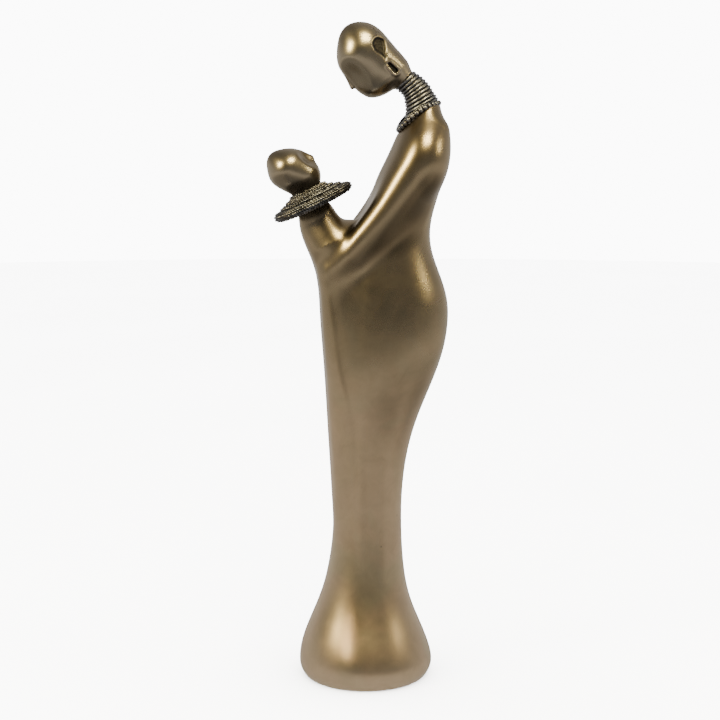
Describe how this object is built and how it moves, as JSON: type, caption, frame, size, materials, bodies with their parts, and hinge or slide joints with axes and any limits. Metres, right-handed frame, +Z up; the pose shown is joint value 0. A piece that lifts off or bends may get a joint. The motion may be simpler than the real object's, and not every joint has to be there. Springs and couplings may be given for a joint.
{
  "type": "mother and child sculpture",
  "caption": "Slender standing figure of a mother with ringed neck bowing over the child she holds, one satin bronze-finish casting on a flared round foot.",
  "frame": {"origin": "centre of the flat underside of the flared foot", "axes": "+Z up, -Y the way the mother faces and holds out the child, +X her left side"},
  "size_m": [0.0735, 0.0988, 0.3598],
  "materials": {
    "satin_bronze": "satin bronze-colour metallic finish, darker in the hollows, with dark pewter on the neck rings, the beads, the collar and inside the ears"
  },
  "bodies": {
    "root": {"mother_and_child": "satin_bronze"}
  },
  "joints": []
}
